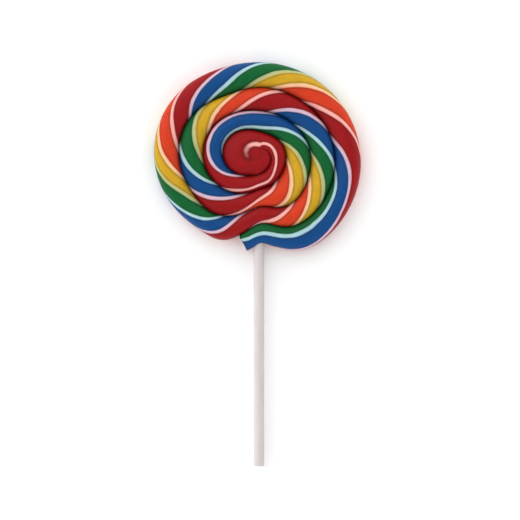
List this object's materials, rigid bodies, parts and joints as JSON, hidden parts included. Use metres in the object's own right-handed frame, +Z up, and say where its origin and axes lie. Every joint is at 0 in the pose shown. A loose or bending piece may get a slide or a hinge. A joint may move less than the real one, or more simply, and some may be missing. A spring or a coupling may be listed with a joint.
{
  "type": "swirl lollipop",
  "caption": "Flat coil of twisted, rainbow-striped hard candy rope on a straight paper stick, lying flat with its shown side up.",
  "frame": {"origin": "centre of the lowest face of the box around the whole lollipop as it lies flat, on the surface it rests on", "axes": "+Z up, out of the shown side of the candy; the stick runs towards -Y from the candy, and +X is to the right when the lollipop is seen from above with its stick towards the viewer"},
  "size_m": [0.0758, 0.148, 0.0084],
  "materials": {
    "candy": "hard boiled sugar, satin gloss, five colours with white lines between",
    "stick": "smooth rolled white paper"
  },
  "bodies": {
    "root": {"candy": "candy", "stick": "stick"}
  },
  "joints": []
}
